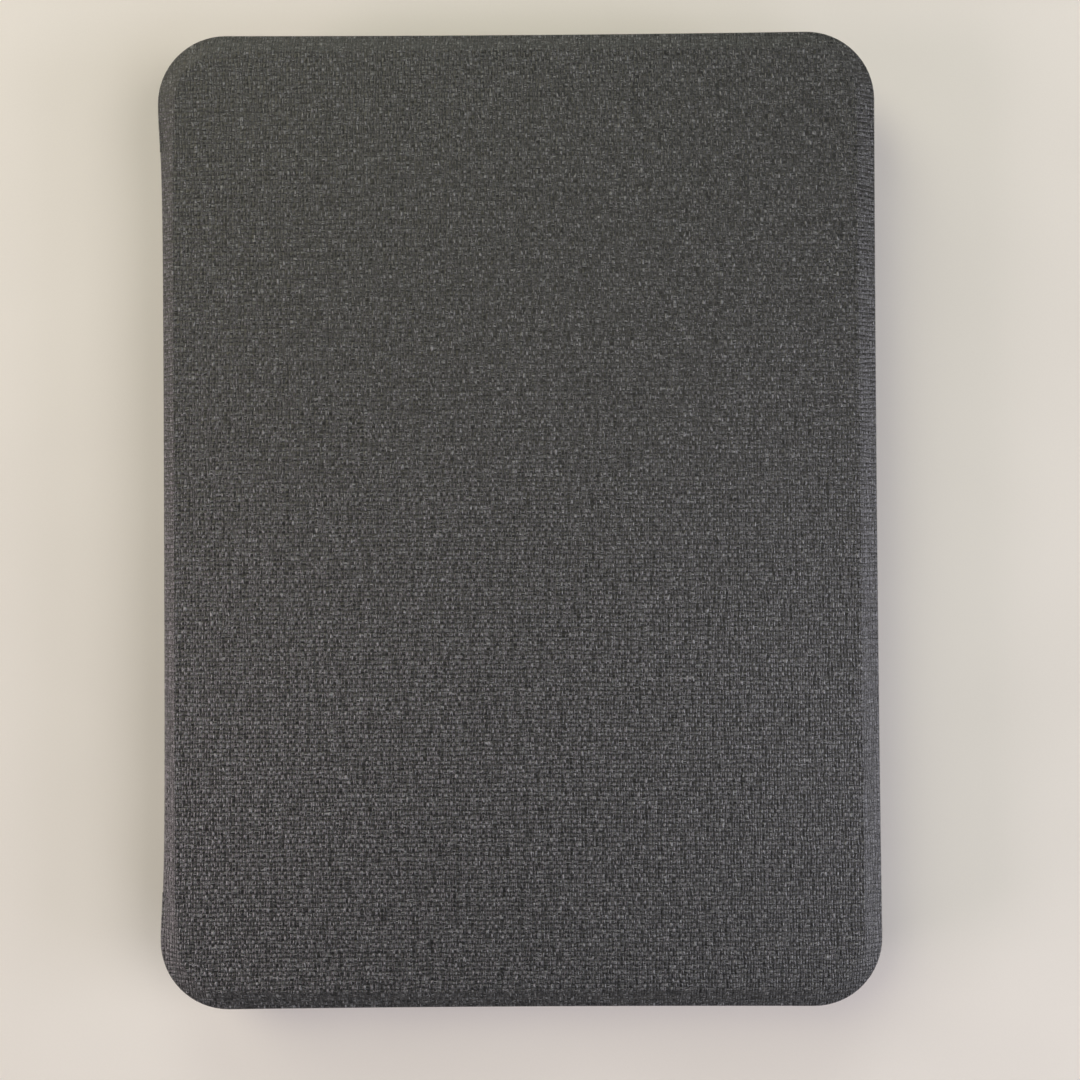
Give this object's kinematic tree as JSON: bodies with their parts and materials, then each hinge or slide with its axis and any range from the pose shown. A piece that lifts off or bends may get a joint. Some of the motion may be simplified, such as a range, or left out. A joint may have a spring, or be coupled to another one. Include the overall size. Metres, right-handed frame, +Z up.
{
  "type": "tablet case",
  "caption": "Book-style tablet case: cloth-bound front and rear covers joined by a folding cloth spine, with a moulded snap-in shell inside for the tablet.",
  "frame": {"origin": "centre of the closed case's base: the middle of its width and length, on the surface that the rear cover lies on", "axes": "+X from the spine to the free edge, +Y from the foot to the head, +Z up out of the front cover"},
  "size_m": [0.134, 0.1816, 0.0153],
  "materials": {
    "cloth": "matte",
    "lining": "matte",
    "board": "matte",
    "shell": "matte",
    "adhesive": "satin",
    "magnet": "satin"
  },
  "bodies": {
    "rear_cover": {"rear_skin": "cloth", "rear_board": "board", "rear_lining": "lining", "shell_adhesive": "adhesive", "tablet_shell": "shell", "shell_pad": "lining", "rear_hinge_skin": "cloth", "rear_hinge_lining": "lining"},
    "spine": {"spine_skin": "cloth", "spine_board": "board", "spine_lining": "lining", "front_hinge_skin": "cloth", "front_hinge_lining": "lining"},
    "front_cover": {"front_skin": "cloth", "front_board": "board", "closure_magnets": "magnet", "wake_magnet": "magnet", "front_lining": "lining"}
  },
  "joints": [
    {"name": "rear_hinge", "type": "hinge", "parent": "rear_cover", "child": "spine", "pos_m": [-0.0653, 0, 0.0011], "axis": [0, -1, 0], "range_deg": [0, 180], "deforming": ["rear_hinge_skin", "rear_hinge_lining"]},
    {"name": "front_hinge", "type": "hinge", "parent": "spine", "child": "front_cover", "pos_m": [-0.0653, 0, 0.0142], "axis": [0, -1, 0], "range_deg": [0, 180], "deforming": ["front_hinge_skin", "front_hinge_lining"]}
  ]
}
